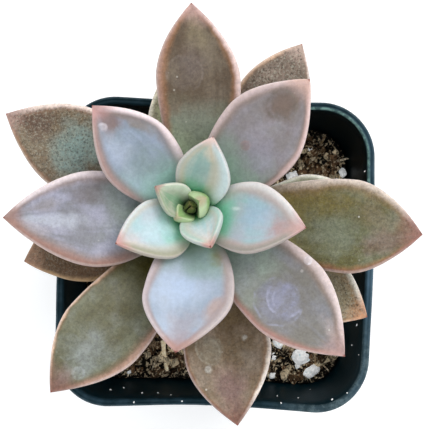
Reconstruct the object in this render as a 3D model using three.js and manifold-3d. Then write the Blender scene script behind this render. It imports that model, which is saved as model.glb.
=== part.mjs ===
// A potted rosette succulent in a small square nursery pot, in millimetres, +Z up.
// The origin is the middle of the pot's flat underside. +Y is the far side of the pot, +X its right side.
// The plant is built in its own frame, +Z along its stem from the soil up, and that frame leans in the pot.
import * as THREE from 'three';
import { mergeVertices } from 'three/addons/utils/BufferGeometryUtils.js';
import Module from 'manifold-3d';

const wasm = await Module();
wasm.setup();

// Driving dimensions.
const gap = 0.3; // clearance between neighbouring pieces
const goldenAngle = 137.5; // degrees from one leaf to the next on the stem

const pot = {
  height: 56,
  baseHalf: 22.5, // half the width of the underside
  neckHalf: 30.5, // half the width of the wall's outside, just under the rim
  rimHalf: 31.75,
  rimHeight: 3.6,
  wall: 1.0,
  floor: 1.4,
  baseCorner: 6.5, // corner radii
  rimCorner: 11.2,
  cornerSteps: 6,
  sideSteps: 4,
  bow: [0.5, -0.7, 0.3, -1.1], // how far the rim bows out at the middle of its right, far, left and near side
  drainRadius: 2.8,
  drainOffset: 12.5, // of each floor hole from the middle, along X and Y
  slotRadius: 2.2, // of the drain hole through the foot of each corner
};

const soil = {
  level: 40, // mean height of the surface
  mound: 1.6, // how much it rises round the stem
  ripple: 0.6,
  heap: { at: [27, 19], height: 2.6, spread: 6 }, // where soil is heaped against the wall
  crumb: 0.7, // height of the crumbs either side of the mean surface
  rings: 9,
  around: 36, // points in each ring of the surface
  chips: 30,
  chipLength: [2.4, 5.2],
  bark: [ // the larger chips lying near the wall: place on the surface, length, and turn in degrees
    { at: [24, -25], length: 5, turn: 65 },
    { at: [26, 23.4], length: 3, turn: 20 },
    { at: [26.4, 21.4], length: 3.2, turn: 95 },
    { at: [20.4, 26.2], length: 3, turn: 150 },
  ],
};

const plant = {
  foot: [-3.5, 5.3], // where the stem leaves the soil
  lean: 7, // degrees off plumb
  leanToward: 112, // degrees from +X
  crown: 31, // height of the growing tip above the soil
  buried: 11,
  spiralStart: 158, // azimuth of the first short leaf at the crown
};

const stem = {
  radius: 3.7,
  tipRadius: 1.7,
  footRadius: 4.3,
  top: plant.crown - 3.4,
  taper: 9, // length over which it narrows to the growing tip
  scars: 7, // scars of fallen leaves, lower on the same spiral
};

const leafForm = {
  sides: 12,
  rings: 13,
  neck: 0.34, // width at the foot, as a share of the greatest
  point: 1.8, // how full the outline stays on its way to the tip
  sunk: 0.9, // how far a leaf starts inside the stem before it is fitted to it
  nested: 5, // how many younger leaves an older one is fitted under
};

// Every leaf on the spiral, youngest first: degrees off the spiral, length and width along the blade,
// how far the blade bows to its left, and the share of its length at which it is widest.
// The first two are the short ones that belong to the crown.
const crownLeaves = 2;
const leaves = [
  { off: -4, length: 11.3, width: 6.7, bow: 0.1, fullest: 0.54 },
  { off: 2.5, length: 12.6, width: 8.8, bow: 0.5, fullest: 0.60 },
  { off: -1, length: 17.6, width: 10.7, bow: -0.6, fullest: 0.57 },
  { off: 0, length: 19.2, width: 12.4, bow: 1.3, fullest: 0.53 },
  { off: 1, length: 26.5, width: 13.9, bow: -0.1, fullest: 0.58 },
  { off: 11, length: 29.4, width: 14.9, bow: 0.2, fullest: 0.57 },
  { off: 4, length: 30.8, width: 17.2, bow: 1.5, fullest: 0.66 },
  { off: 7, length: 35.1, width: 17.0, bow: -0.5, fullest: 0.61 },
  { off: 8, length: 37.2, width: 18.6, bow: 1.1, fullest: 0.54 },
  { off: 1.5, length: 42.7, width: 16.9, bow: 0.8, fullest: 0.63 },
  { off: -1.5, length: 40.4, width: 16.3, bow: -1.5, fullest: 0.64 },
  { off: 5, length: 44.8, width: 16.4, bow: 1.3, fullest: 0.67 },
  { off: -13.5, length: 44.9, width: 18.1, bow: 0, fullest: 0.70 },
  { off: 9, length: 40.7, width: 17.3, bow: -0.2, fullest: 0.62 },
  { off: 1, length: 42.3, width: 16.9, bow: 1.3, fullest: 0.67 },
  { off: -2, length: 38.9, width: 15.3, bow: -1.9, fullest: 0.65 },
  { off: 0, length: 33.5, width: 15.9, bow: -0.4, fullest: 0.62 },
  { off: -5, length: 39.0, width: 14.6, bow: -0.3, fullest: 0.69 },
  { off: -8.5, length: 27.1, width: 11.3, bow: -0.4, fullest: 0.61 },
  { off: -17, length: 30.2, width: 13.0, bow: 0, fullest: 0.62 },
  { off: -15, length: 29.3, width: 11.3, bow: -2.2, fullest: 0.69 },
];

// The small closed leaves at the growing tip: steps up the spiral, degrees off it, distance from the axis,
// length, width, and the lift at the foot and at the tip in degrees.
const budLeaves = [
  { turn: 2, off: -23, start: 0.6, length: 6.4, width: 4.6, foot: 72, tip: 56 },
  { turn: 1, off: 9, start: 1.1, length: 6.6, width: 5.6, foot: 74, tip: 84 },
  { turn: 3, off: 0, start: 0.3, length: 5.2, width: 3.2, foot: 84, tip: 92 },
  { turn: 4, off: 0, start: 0.2, length: 4.4, width: 2.6, foot: 86, tip: 94 },
];

// White grains lying on the soil: place on the surface, length, and the turn of the grain.
const perlite = [
  { at: [19.2, -21.1], size: 4.2, turn: 20 },
  { at: [21.4, -24.3], size: 3.8, turn: 40 },
  { at: [14, -18.6], size: 2.3, turn: 140 },
  { at: [13.1, -25.6], size: 1.6, turn: 10 },
  { at: [15.9, 17.1], size: 2.6, turn: 35 },
  { at: [26.6, 18.1], size: 1.9, turn: 100 },
  { at: [-17.4, -25.6], size: 1.7, turn: 30 },
  { at: [-21.2, 20.5], size: 2.6, turn: 80 },
  { at: [13.2, -21.4], size: 1.7, turn: 70 },
];

// A pale bit of straw lying on the soil, from one end to the other.
const straw = { from: [-10.3, -18.6], to: [-9.3, -25.2], radius: 0.45 };

const colours = {
  pot: 0x11171a,
  soil: 0x3a2c20,
  perlite: 0xe6e3da,
  stem: 0x7d7a55,
  straw: 0xc9b48c,
  crown: 0xa3c488,
  leaf: [0x9dc7a8, 0xa9b9c0, 0x9c8f8a, 0x84725c], // from the youngest to the oldest
};

const radians = THREE.MathUtils.degToRad;
const { lerp, clamp } = THREE.MathUtils;

// Turns a closed three.js geometry into a solid for cutting and joining.
function solidOf(geometry) {
  const bare = geometry.clone();
  bare.deleteAttribute('normal');
  bare.deleteAttribute('uv');
  const merged = mergeVertices(bare, 1e-4);
  return new wasm.Manifold(new wasm.Mesh({
    numProp: 3,
    vertProperties: new Float32Array(merged.attributes.position.array),
    triVerts: new Uint32Array(merged.index.array),
  }));
}

// Turns a solid back into a three.js geometry, without the slivers that cutting leaves.
function geometryOf(solid) {
  const { vertProperties, triVerts } = solid.simplify(0.02).getMesh();
  const geometry = new THREE.BufferGeometry();
  geometry.setAttribute('position', new THREE.BufferAttribute(vertProperties, 3));
  geometry.setIndex(new THREE.BufferAttribute(triVerts, 1));
  return geometry;
}

function meshOf(name, geometry, colour, roughness) {
  geometry.computeVertexNormals();
  const material = new THREE.MeshStandardMaterial({ color: colour, roughness, metalness: 0 });
  const mesh = new THREE.Mesh(geometry, material);
  mesh.name = name;
  return mesh;
}

// The same run of numbers between 0 and 1 every time, from its seed.
function randomRun(seed) {
  let state = seed;
  return () => {
    state = (state * 16807) % 2147483647;
    return state / 2147483647;
  };
}

// Moves a point of the pot, or of the soil in it, with the bow of the pot's thin walls, which grows with height.
function bowed(point) {
  const half = wallHalf(point.z);
  const rise = (point.z / pot.height) ** 2;
  const [u, v] = [point.x / half, point.y / half];
  const across = (t) => Math.cos(Math.PI / 2 * clamp(t, -1, 1)) ** 2;
  const [right, far, left, near] = pot.bow;
  point.x += (u > 0 ? right : -left) * u * u * across(v) * rise;
  point.y += (v > 0 ? far : -near) * v * v * across(u) * rise;
  return point;
}

// One closed loop of points: a square with round corners and bowed sides, seen from above.
function squareRing(half, corner, z) {
  const arcs = [45, 135, 225, 315].map((degrees) => {
    const middle = radians(degrees);
    const cx = Math.sign(Math.cos(middle)) * (half - corner);
    const cy = Math.sign(Math.sin(middle)) * (half - corner);
    return Array.from({ length: pot.cornerSteps + 1 }, (_, i) => {
      const angle = middle + radians(90 * (i / pot.cornerSteps - 0.5));
      return new THREE.Vector3(cx + corner * Math.cos(angle), cy + corner * Math.sin(angle), z);
    });
  });
  const ring = arcs.flatMap((arc, side) => {
    const [start, end] = [arc.at(-1), arcs[(side + 1) % 4][0]];
    const between = Array.from({ length: pot.sideSteps - 1 }, (_, i) => (i + 1) / pot.sideSteps);
    return [...arc, ...between.map((t) => start.clone().lerp(end, t))];
  });
  return ring.map(bowed);
}

// Joins loops of equal length into one closed skin, with a fan over the first and the last.
function skin(rings) {
  const count = rings[0].length;
  const points = rings.flat();
  const faces = [];
  for (let r = 0; r < rings.length - 1; r++) {
    for (let i = 0; i < count; i++) {
      const [a, b] = [r * count + i, r * count + ((i + 1) % count)];
      faces.push(a, b, b + count, a, b + count, a + count);
    }
  }
  const centre = (ring) => ring.reduce((sum, p) => sum.add(p), new THREE.Vector3()).divideScalar(count);
  const start = points.push(centre(rings[0])) - 1;
  const end = points.push(centre(rings.at(-1))) - 1;
  const last = (rings.length - 1) * count;
  for (let i = 0; i < count; i++) {
    const next = (i + 1) % count;
    faces.push(start, next, i, end, last + i, last + next);
  }
  const geometry = new THREE.BufferGeometry().setFromPoints(points);
  geometry.setIndex(faces);
  return geometry;
}

// Half the width of the pot's tapering wall at a height, on its outside.
function wallHalf(z) {
  return lerp(pot.baseHalf, pot.neckHalf, z / (pot.height - pot.rimHeight));
}

function wallCorner(z) {
  return lerp(pot.baseCorner, pot.rimCorner - 0.8, z / pot.height);
}

// A thin tapering square cup with a stepped rim, and drain holes in its floor and low in its corners.
function makePot() {
  const { height, rimHalf, rimHeight, rimCorner, wall, floor } = pot;
  const underRim = height - rimHeight;
  const outside = [
    squareRing(wallHalf(0) - 0.8, wallCorner(0) - 0.8, 0),
    squareRing(wallHalf(0.8), wallCorner(0.8), 0.8),
    squareRing(wallHalf(underRim), wallCorner(underRim), underRim),
    squareRing(rimHalf, rimCorner, underRim + 0.7),
    squareRing(rimHalf, rimCorner, height - 0.5),
    squareRing(rimHalf - 0.4, rimCorner - 0.4, height),
  ];
  const inside = [
    squareRing(rimHalf - 1.5, rimCorner - 1.5, height),
    squareRing(rimHalf - 1.9, rimCorner - 1.9, height - 0.6),
    squareRing(wallHalf(underRim) - wall, wallCorner(underRim) - wall, underRim),
    squareRing(wallHalf(floor) - wall, wallCorner(floor) - wall, floor),
  ];
  let solid = solidOf(skin([...outside, ...inside]));
  for (const [sx, sy] of [[1, 1], [-1, 1], [-1, -1], [1, -1]]) {
    const hole = new THREE.CylinderGeometry(pot.drainRadius, pot.drainRadius, 4 * floor, 16);
    hole.rotateX(Math.PI / 2).translate(sx * pot.drainOffset, sy * pot.drainOffset, floor / 2);
    const slot = new THREE.CylinderGeometry(pot.slotRadius, pot.slotRadius, 9, 12);
    const corner = wallHalf(0) - wallCorner(0) * (1 - Math.SQRT1_2);
    slot.rotateZ(Math.atan2(sy, sx) - Math.PI / 2).translate(sx * corner, sy * corner, floor + 1.2 + pot.slotRadius);
    solid = solid.subtract(solidOf(hole)).subtract(solidOf(slot));
  }
  return meshOf('pot', geometryOf(solid), colours.pot, 0.35);
}

// The stem's radius at a height in the plant's frame.
function stemRadius(z) {
  const t = clamp((stem.top - z) / stem.taper, 0, 1);
  const upper = lerp(stem.tipRadius, stem.radius, Math.sin(t * Math.PI / 2));
  const foot = Math.exp(-Math.max(z, 0) / 3);
  return lerp(upper, stem.footRadius, z < 0 ? 1 + z / (1.6 * plant.buried) : foot);
}

// The stem as a turned solid, made fatter by `extra` all round when it cuts another piece.
function stemSolid(extra) {
  const low = -plant.buried;
  const steps = 12;
  const profile = [new THREE.Vector2(0, low - extra)];
  for (let i = 0; i <= steps; i++) {
    const z = lerp(low, stem.top, i / steps);
    const end = i === 0 ? -extra : i === steps ? extra : 0;
    profile.push(new THREE.Vector2(stemRadius(z) + extra, z + end));
  }
  profile.push(new THREE.Vector2(0, stem.top + extra));
  return solidOf(new THREE.LatheGeometry(profile, 18).rotateX(Math.PI / 2));
}

// How far below the growing tip leaf number n leaves the stem, counting from the youngest open leaf.
function dropOf(n) {
  return 2.2 + 0.6 * n + 0.01 * n * n;
}

// The lift of a blade above the level, in degrees: nearly upright when young, nearly flat when old.
function liftOf(n) {
  return { foot: 26 + 42 * Math.exp(-n / 8), tip: 42 * Math.exp(-n / 5) };
}

// How far the margins of leaf number n rise, as a share of half its width: young leaves are deep troughs.
function cupOf(n) {
  return 0.08 + 0.27 * Math.exp(-n / 6);
}

// Half the width of a blade at share s of its length: a narrow foot, a full middle and a pointed tip.
function bladeHalf(s, width, fullest) {
  const { neck, point } = leafForm;
  if (s < fullest) return width / 2 * lerp(neck, 1, Math.sin(Math.PI / 2 * s / fullest) ** 1.3);
  return width / 2 * (1 - ((s - fullest) / (1 - fullest)) ** point);
}

function bladeThickness(s, thickness) {
  return thickness * (0.55 + 0.45 * Math.sin(Math.PI / 2 * Math.min(1, s / 0.5))) * Math.sqrt(1 - s ** 6);
}

// A fleshy blade: a ball drawn out along an arc, with a hollowed upper face and a keeled back.
// It starts on the Z axis at height 0, `start` out along +X, and its upper face looks up.
function bladeGeometry({ length, width, fullest, thickness, start, foot, tip, cup, bow, sides, rings }) {
  const geometry = new THREE.SphereGeometry(1, sides, rings);
  const place = geometry.attributes.position;
  const [lift0, lift1] = [radians(foot), radians(tip)];
  const turn = lift1 - lift0;
  for (let i = 0; i < place.count; i++) {
    const [x, y, z] = [place.getX(i), place.getY(i), place.getZ(i)];
    const s = (1 - y) / 2;
    const round = Math.hypot(x, z);
    const across = round > 1e-6 ? x / round : 0;
    const over = round > 1e-6 ? z / round : 0;
    const half = bladeHalf(s, width, fullest);
    const thick = bladeThickness(s, thickness);
    const rise = Math.abs(over);
    const face = over > 0
      ? thick * (0.36 * rise ** 0.6 - 0.16 * rise ** 3)
      : -thick * (0.5 * rise + 0.16 * rise ** 4);
    const up = face + cup * half * across * across;
    const lift = lift0 + turn * s;
    const out = start + length / turn * (Math.sin(lift) - Math.sin(lift0));
    const climb = length / turn * (Math.cos(lift0) - Math.cos(lift));
    const side = half * across + bow * Math.sin(Math.PI * s);
    place.setXYZ(i, out - up * Math.sin(lift), side, climb + up * Math.cos(lift));
  }
  return geometry;
}

// Leaf number n as a solid on the stem, made bigger by `extra` all round when it cuts an older leaf.
function leafSolid(n, extra) {
  const { length, width, off, bow, fullest } = leaves[n];
  const height = plant.crown - dropOf(n);
  const blade = bladeGeometry({
    length: length + extra,
    width: width + 2 * extra,
    fullest,
    thickness: Math.min(4.6, 2.2 + width * 0.14) + 2 * extra,
    start: stemRadius(height) - leafForm.sunk,
    foot: liftOf(n).foot,
    tip: liftOf(n).tip,
    cup: cupOf(n),
    bow,
    sides: leafForm.sides,
    rings: leafForm.rings,
  });
  blade.rotateZ(radians(plant.spiralStart + goldenAngle * n + off));
  return solidOf(blade.translate(0, 0, height));
}

// The closed bud: a low dome and its small upright leaves, made bigger by `extra` to cut a leaf.
function budSolid(extra) {
  const base = stem.top + gap;
  const dome = new THREE.SphereGeometry(stem.tipRadius + extra, 12, 8);
  dome.scale(1, 1, 1.5).translate(0, 0, base + 1.6);
  let solid = solidOf(dome);
  budLeaves.forEach(({ turn, off, start, length, width, foot, tip }, i) => {
    const blade = bladeGeometry({
      length: length + extra,
      width: width + 2 * extra,
      fullest: 0.6,
      thickness: width * 0.55 + 2 * extra,
      start,
      foot,
      tip,
      cup: 0.25,
      bow: 0,
      sides: 10,
      rings: 8,
    });
    blade.rotateZ(radians(plant.spiralStart - goldenAngle * turn + off));
    solid = solid.add(solidOf(blade.translate(0, 0, base + 0.8 + 0.35 * i)));
  });
  return solid;
}

function largestPart(solid) {
  return solid.decompose().reduce((big, part) => (part.volume() > big.volume() ? part : big));
}

// The crown: the bud with the short leaves that stand round it, clear of the stem's tip.
function crownSolid() {
  const below = new THREE.BoxGeometry(20, 20, 20).translate(0, 0, stem.top + gap - 10);
  let solid = budSolid(0);
  for (let n = 0; n < crownLeaves; n++) solid = solid.add(leafSolid(n, 0));
  return largestPart(solid.subtract(solidOf(below)));
}

// Open leaf number n, fitted to the stem and under the younger leaves that lie on it.
function makeLeaf(n) {
  let solid = leafSolid(n, 0).subtract(stemSolid(gap));
  for (let younger = Math.max(0, n - leafForm.nested); younger < n; younger++) {
    solid = solid.subtract(leafSolid(younger, gap));
  }
  if (n < crownLeaves + leafForm.nested) solid = solid.subtract(budSolid(gap));
  const share = n / (leaves.length - 1) * (colours.leaf.length - 1);
  const step = Math.min(Math.floor(share), colours.leaf.length - 2);
  const colour = new THREE.Color(colours.leaf[step]);
  colour.lerp(new THREE.Color(colours.leaf[step + 1]), share - step);
  const name = `leaf_${String(n - crownLeaves + 1).padStart(2, '0')}`;
  return meshOf(name, geometryOf(largestPart(solid)), colour, 0.6);
}

// The stem with the scars of its fallen leaves raised on it.
function makeStem() {
  let solid = stemSolid(0);
  for (let i = 0; i < stem.scars; i++) {
    const n = leaves.length + i;
    const z = plant.crown - dropOf(n) + 1.2;
    const scar = new THREE.SphereGeometry(1, 8, 5);
    scar.scale(0.9, 1.9, 0.8).translate(stemRadius(z) - 0.35, 0, z);
    scar.rotateZ(radians(plant.spiralStart + goldenAngle * n));
    solid = solid.add(solidOf(scar));
  }
  return meshOf('stem', geometryOf(solid), colours.stem, 0.8);
}

// The frame that the plant stands in, as a group that leans.
function plantFrame() {
  const frame = new THREE.Group();
  const toward = radians(plant.leanToward);
  const axis = new THREE.Vector3(-Math.sin(toward), Math.cos(toward), 0);
  frame.quaternion.setFromAxisAngle(axis, radians(plant.lean));
  frame.position.set(plant.foot[0], plant.foot[1], soil.level);
  frame.updateMatrix();
  return frame;
}

// The height of the soil's surface: mounded round the stem and rippled.
function soilHeight(x, y) {
  const away = Math.hypot(x - plant.foot[0], y - plant.foot[1]);
  const ripple = Math.sin(0.42 * x + 1.1) * Math.cos(0.37 * y - 0.6) + 0.6 * Math.sin(0.9 * x - 0.7 * y);
  const { at, height, spread } = soil.heap;
  const heap = height * Math.exp(-((Math.hypot(x - at[0], y - at[1]) / spread) ** 2));
  return soil.level + soil.mound * (Math.exp(-((away / 13) ** 2)) - 0.5) + soil.ripple * ripple + heap;
}

// A grain or chip: a coarse ball pulled out of shape by its own run of random numbers.
function lumpGeometry(length, squash, random, detail = 0) {
  const lump = new THREE.IcosahedronGeometry(0.5 * length, detail);
  const place = mergeVertices(new THREE.BufferGeometry().setAttribute('position', lump.attributes.position), 1e-4);
  const points = place.attributes.position;
  for (let i = 0; i < points.count; i++) {
    const pull = lerp(0.78, 1.12, random());
    points.setXYZ(i, points.getX(i) * pull, points.getY(i) * pull * squash[0], points.getZ(i) * pull * squash[1]);
  }
  return place;
}

function perliteLump({ at, size, turn }, extra) {
  const random = randomRun(Math.round(1000 * size + turn));
  const lump = lumpGeometry(size + 2 * extra, [0.8, 0.68], random, 1);
  lump.rotateZ(radians(turn));
  return lump.translate(at[0], at[1], soilHeight(at[0], at[1]) + 0.22 * size);
}

function strawGeometry(extra) {
  const { from, to, radius } = straw;
  const ends = [from, to].map(([x, y]) => new THREE.Vector3(x, y, soilHeight(x, y) + 0.8));
  const line = ends[1].clone().sub(ends[0]);
  const stick = new THREE.CylinderGeometry(radius + extra, 0.8 * radius + extra, line.length() + 2 * extra, 7);
  stick.applyQuaternion(new THREE.Quaternion().setFromUnitVectors(new THREE.Vector3(0, 1, 0), line.normalize()));
  return stick.translate(...ends[0].add(ends[1]).multiplyScalar(0.5));
}

// How far a square with round corners reaches from its middle at an angle.
function squareReach(half, corner, angle) {
  const [c, d] = [Math.abs(Math.cos(angle)), Math.abs(Math.sin(angle))];
  const side = half / Math.max(c, d);
  const inner = half - corner;
  if (side * Math.min(c, d) <= inner) return side;
  const along = inner * (c + d);
  return along + Math.sqrt(along ** 2 - 2 * inner ** 2 + corner ** 2);
}

// The root ball: it fills the pot below its crumbly surface, with bark and coir chips standing out of the top.
function makeSoil(frame) {
  const side = (z) => wallHalf(z) - pot.wall - gap;
  const corner = (z) => wallCorner(z) - pot.wall - gap;
  const random = randomRun(4211);
  const ring = (share, height, turn) => Array.from({ length: soil.around }, (_, i) => {
    const angle = 2 * Math.PI * (i + turn) / soil.around;
    const level = Math.min(height(0, 0), soil.level);
    const reach = share * squareReach(side(level), corner(level), angle);
    const [x, y] = [reach * Math.cos(angle), reach * Math.sin(angle)];
    return bowed(new THREE.Vector3(x, y, height(x, y)));
  });
  const rings = [ring(1, () => pot.floor, 0), ring(1, () => soil.level - 1.5, 0)];
  for (let r = 1; r < soil.rings; r++) {
    const crumbly = (x, y) => soilHeight(x, y) + soil.crumb * (2 * random() - 1);
    rings.push(ring(1.04 - r / soil.rings, crumbly, (r % 2) / 2));
  }
  const body = solidOf(skin(rings));
  const reach = solidOf(skin([
    squareRing(side(pot.floor), corner(pot.floor), pot.floor),
    squareRing(side(pot.height - 6), corner(pot.height - 6), pot.height - 6),
  ]));
  let chips = body;
  for (let i = 0; i < soil.chips; i++) {
    const length = lerp(...soil.chipLength, random());
    const chip = lumpGeometry(length, [lerp(0.45, 0.75, random()), lerp(0.3, 0.5, random())], random);
    chip.rotateY(0.9 * (random() - 0.5)).rotateZ(2 * Math.PI * random());
    const [x, y] = [lerp(-26, 26, random()), lerp(-26, 26, random())];
    chips = chips.add(solidOf(chip.translate(x, y, soilHeight(x, y) + 0.12 * length)));
  }
  for (const { at: [x, y], length, turn } of soil.bark) {
    const chip = lumpGeometry(length, [0.6, 0.4], random).rotateZ(radians(turn));
    chips = chips.add(solidOf(chip.translate(x, y, soilHeight(x, y) + 0.16 * length)));
  }
  let solid = chips.intersect(reach);
  solid = solid.subtract(stemSolid(gap).transform(frame.matrix.elements));
  for (const grain of perlite) solid = solid.subtract(solidOf(perliteLump(grain, gap)));
  solid = solid.subtract(solidOf(strawGeometry(gap)));
  return meshOf('soil', geometryOf(largestPart(solid)), colours.soil, 0.95);
}

const object = new THREE.Group();
const frame = plantFrame();
object.add(makePot(), makeSoil(frame), frame);
frame.add(makeStem(), meshOf('crown', geometryOf(crownSolid()), colours.crown, 0.6));
for (let n = crownLeaves; n < leaves.length; n++) frame.add(makeLeaf(n));
perlite.forEach((grain, i) => {
  object.add(meshOf(`perlite_${i + 1}`, perliteLump(grain, 0), colours.perlite, 0.9));
});
object.add(meshOf('straw', strawGeometry(0), colours.straw, 0.8));

export default object;
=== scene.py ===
import math
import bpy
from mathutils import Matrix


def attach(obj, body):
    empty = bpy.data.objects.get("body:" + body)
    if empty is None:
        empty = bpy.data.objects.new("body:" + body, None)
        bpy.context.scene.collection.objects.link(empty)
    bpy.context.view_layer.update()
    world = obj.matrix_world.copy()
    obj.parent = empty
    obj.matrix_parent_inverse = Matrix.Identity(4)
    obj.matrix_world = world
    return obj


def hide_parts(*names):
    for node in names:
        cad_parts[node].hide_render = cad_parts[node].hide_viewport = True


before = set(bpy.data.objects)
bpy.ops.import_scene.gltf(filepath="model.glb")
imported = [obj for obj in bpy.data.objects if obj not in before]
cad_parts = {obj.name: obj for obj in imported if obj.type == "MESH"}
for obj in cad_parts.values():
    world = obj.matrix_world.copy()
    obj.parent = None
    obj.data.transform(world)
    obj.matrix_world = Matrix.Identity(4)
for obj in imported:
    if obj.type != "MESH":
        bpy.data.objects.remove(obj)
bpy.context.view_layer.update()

from types import SimpleNamespace

import bmesh
import bpy
from mathutils import Matrix, Vector, noise

mm = 0.001
goldenAngle = 137.5  # degrees from one leaf to the next on the stem
scene = bpy.context.scene


def srgb(red, green, blue):  # a colour as the eye reads it, 0 to 255, made linear
    parts = [c / 255 for c in (red, green, blue)]
    return tuple(c / 12.92 if c <= 0.04045 else ((c + 0.055) / 1.055) ** 2.4 for c in parts) + (1,)


def lerp(a, b, t):
    return a + (b - a) * t


# small helpers for node trees, in materials and in geometry alike

class Field:  # a value that nodes work out at each point, so that a sum over fields builds its nodes
    def __init__(self, socket):
        self.socket = socket
        self.tree = socket.id_data

    def __add__(self, other):
        return calc("ADD", self, other)

    def __sub__(self, other):
        return calc("SUBTRACT", self, other)

    def __rsub__(self, other):
        return calc("SUBTRACT", other, self)

    def __mul__(self, other):
        return calc("MULTIPLY", self, other)

    def __truediv__(self, other):
        return calc("DIVIDE", self, other)

    def __pow__(self, other):
        return calc("POWER", self, other)

    def __abs__(self):
        return calc("ABSOLUTE", self)


def plug(socket, value):
    if isinstance(value, Field):
        value.tree.links.new(value.socket, socket)
    elif value is not None:
        socket.default_value = value


def addNode(tree, kind, *values, settings={}, result=0, **inputs):  # inputs in their order or by name
    node = tree.nodes.new(kind)
    for key, value in settings.items():
        setattr(node, key, value)
    for i, value in enumerate(values):
        plug(node.inputs[i], value)
    for key, value in inputs.items():
        plug(node.inputs[key.replace("_", " ")], value)
    return Field(node.outputs[result])


def treeOf(*values):
    return next(value.tree for value in values if isinstance(value, Field))


def calc(operation, *values, clamp=False):
    settings = {"operation": operation, "use_clamp": clamp}
    return addNode(treeOf(*values), "ShaderNodeMath", *values, settings=settings)


def sine(angle):
    return calc("SINE", angle)


def cosine(angle):
    return calc("COSINE", angle)


def vectorCalc(operation, *values):
    result = "Value" if operation == "LENGTH" else "Vector"
    settings = {"operation": operation}
    return addNode(treeOf(*values), "ShaderNodeVectorMath", *values, settings=settings, result=result)


def scaled(vector, by):
    return vectorCalc("SCALE", vector, None, None, by)


def split(vector):  # its x, y and z
    x = addNode(vector.tree, "ShaderNodeSeparateXYZ", vector)
    return [Field(socket) for socket in x.socket.node.outputs]


def ease(value, low, high, toLow=0.0, toHigh=1.0):  # a soft step between two values
    settings = {"interpolation_type": "SMOOTHSTEP"}
    return addNode(value.tree, "ShaderNodeMapRange", value, low, high, toLow, toHigh, settings=settings)


def blendColour(factor, first, second, mode="MIX"):
    settings = {"data_type": "RGBA", "blend_type": mode}
    skipped = [None] * 5  # the inputs of a mix of numbers or vectors
    return addNode(treeOf(factor, first, second), "ShaderNodeMix", factor, *skipped, first, second,
                   settings=settings, result=2)


def grain(vector, scale, detail=2.0, roughness=0.5, seed=0.0):  # a noise between 0 and 1
    return addNode(vector.tree, "ShaderNodeTexNoise", settings={"noise_dimensions": "4D"}, Vector=vector,
                   W=seed, Scale=scale, Detail=detail, Roughness=roughness)


def cells(vector, scale):  # distance to the nearest of many scattered points
    return addNode(vector.tree, "ShaderNodeTexVoronoi", result="Distance", Vector=vector, Scale=scale)


def surfaceValue(material, name):  # a value that the mesh carries
    settings = {"attribute_name": name}
    return addNode(material.node_tree, "ShaderNodeAttribute", settings=settings, result="Fac")


def newMaterial(name, roughness, specular):
    material = bpy.data.materials.new(name)
    material.use_nodes = True
    shader = material.node_tree.nodes["Principled BSDF"]
    shader.inputs["Roughness"].default_value = roughness
    shader.inputs["Specular IOR Level"].default_value = specular
    return material, shader, addNode(material.node_tree, "ShaderNodeTexCoord", result="Object")


def addBump(shader, height, distance, strength):
    bump = addNode(height.tree, "ShaderNodeBump", Height=height, Distance=distance, Strength=strength)
    plug(shader.inputs["Normal"], bump)


def addGlow(shader, colour, strength):
    shader.inputs["Emission Color"].default_value = colour
    shader.inputs["Emission Strength"].default_value = strength


def newShapeTree(name, sizes):  # a geometry tree with named inputs for its sizes
    tree = bpy.data.node_groups.new(name, "GeometryNodeTree")
    tree.is_modifier = True
    face = tree.interface
    face.new_socket("Geometry", in_out="INPUT", socket_type="NodeSocketGeometry")
    face.new_socket("Geometry", in_out="OUTPUT", socket_type="NodeSocketGeometry")
    kinds = {float: "Float", int: "Int", tuple: "Vector", type(None): "Material"}
    for title, value in sizes.items():
        socket = face.new_socket(title, in_out="INPUT", socket_type="NodeSocket" + kinds[type(value)])
        if value is not None:
            socket.default_value = value
    given = {socket.name: Field(socket) for socket in tree.nodes.new("NodeGroupInput").outputs}
    result = tree.nodes.new("NodeGroupOutput").inputs["Geometry"]
    return tree, given, result


def endTree(result, shape, material, smooth):  # makes instances real mesh and gives them their material
    whole = addNode(shape.tree, "GeometryNodeRealizeInstances", Geometry=shape)
    shaded = addNode(shape.tree, "GeometryNodeSetShadeSmooth", Geometry=whole, Shade_Smooth=smooth)
    plug(result, addNode(shape.tree, "GeometryNodeSetMaterial", Geometry=shaded, Material=material))


def growMesh(name, tree, values, base=None):  # runs a geometry tree and keeps its result as a plain mesh
    seed = bpy.data.objects.new(name, base or bpy.data.meshes.new(name))
    scene.collection.objects.link(seed)
    modifier = seed.modifiers.new("grow", "NODES")
    modifier.node_group = tree
    for item in tree.interface.items_tree:
        if item.in_out == "INPUT" and item.name in values:
            modifier[item.identifier] = values[item.name]
    graph = bpy.context.evaluated_depsgraph_get()
    grown = seed.evaluated_get(graph)
    mesh = bpy.data.meshes.new_from_object(grown, preserve_all_data_layers=True, depsgraph=graph)
    seed.modifiers.clear()
    seed.data = mesh
    mesh.name = name
    return seed


def pieceFrom(name, shape, material, smooth=True):  # an object of the scene from a bmesh
    bmesh.ops.recalc_face_normals(shape, faces=shape.faces)
    for face in shape.faces:
        face.smooth = smooth
    mesh = bpy.data.meshes.new(name)
    shape.to_mesh(mesh)
    shape.free()
    mesh.materials.append(material)
    piece = bpy.data.objects.new(name, mesh)
    scene.collection.objects.link(piece)
    return piece


def pieceFromRings(name, rings, material):  # a skin over rings of points, closed at both ends
    count = len(rings[0])
    shape = bmesh.new()
    rows = [[shape.verts.new(p) for p in ring] for ring in rings]
    for lower, upper in zip(rows, rows[1:]):
        for i in range(count):
            j = (i + 1) % count
            shape.faces.new((lower[i], lower[j], upper[j], upper[i]))
    for row in (rows[0], rows[-1]):
        middle = shape.verts.new(sum((v.co for v in row), Vector()) / count)
        for i in range(count):
            shape.faces.new((middle, row[i], row[(i + 1) % count]))
    return pieceFrom(name, shape, material)


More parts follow.
